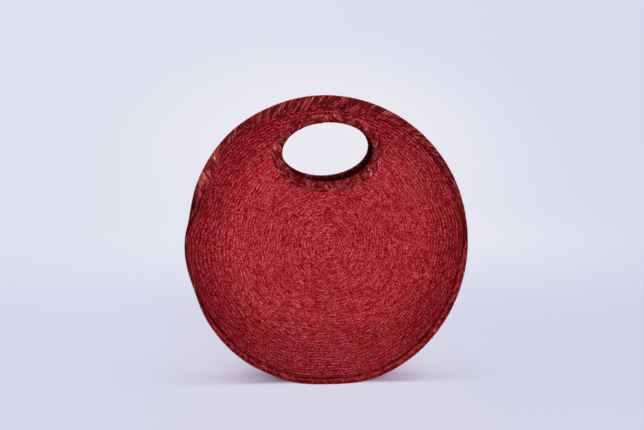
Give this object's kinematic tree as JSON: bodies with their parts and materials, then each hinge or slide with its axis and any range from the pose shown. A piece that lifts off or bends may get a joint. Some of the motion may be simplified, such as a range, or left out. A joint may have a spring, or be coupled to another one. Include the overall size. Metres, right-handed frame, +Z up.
{
  "type": "round straw bag",
  "caption": "Round standing handbag of spirally sewn palm plait, with dished sides on a gusset, a bound oval hand hole in each side and a mouth along the top that flexes open.",
  "frame": {"origin": "on the floor, under the middle of the bag", "axes": "+Z up, -Y towards the viewer out of the front panel, +X to the viewer's right"},
  "size_m": [0.352, 0.0982, 0.3585],
  "materials": {
    "straw_panel": "red-dyed sewn palm plait, satin, with a fine coiled row texture",
    "straw_binding": "darker brownish red broad palm plait with a light satin sheen",
    "thread": "matt red sewing thread"
  },
  "bodies": {
    "shell": {"gusset": "straw_panel", "front_panel_body": "straw_panel", "front_edge_binding": "straw_binding", "front_seam_thread": "thread", "back_panel_body": "straw_panel", "back_edge_binding": "straw_binding", "back_seam_thread": "thread"},
    "front_flap": {"front_panel_flap": "straw_panel", "front_mouth_binding": "straw_binding", "front_hole_binding": "straw_binding", "front_mouth_thread": "thread", "front_hole_thread": "thread"},
    "back_flap": {"back_panel_flap": "straw_panel", "back_mouth_binding": "straw_binding", "back_hole_binding": "straw_binding", "back_mouth_thread": "thread", "back_hole_thread": "thread"}
  },
  "joints": [
    {"name": "front_flap_flex", "type": "hinge", "parent": "shell", "child": "front_flap", "pos_m": [0, -0.04382, 0.21824], "axis": [1, 0, 0], "range_deg": [0, 20], "stiffness_Nm_per_rad": 1.5},
    {"name": "back_flap_flex", "type": "hinge", "parent": "shell", "child": "back_flap", "pos_m": [0, 0.04382, 0.21824], "axis": [-1, 0, 0], "range_deg": [0, 20], "stiffness_Nm_per_rad": 1.5}
  ]
}
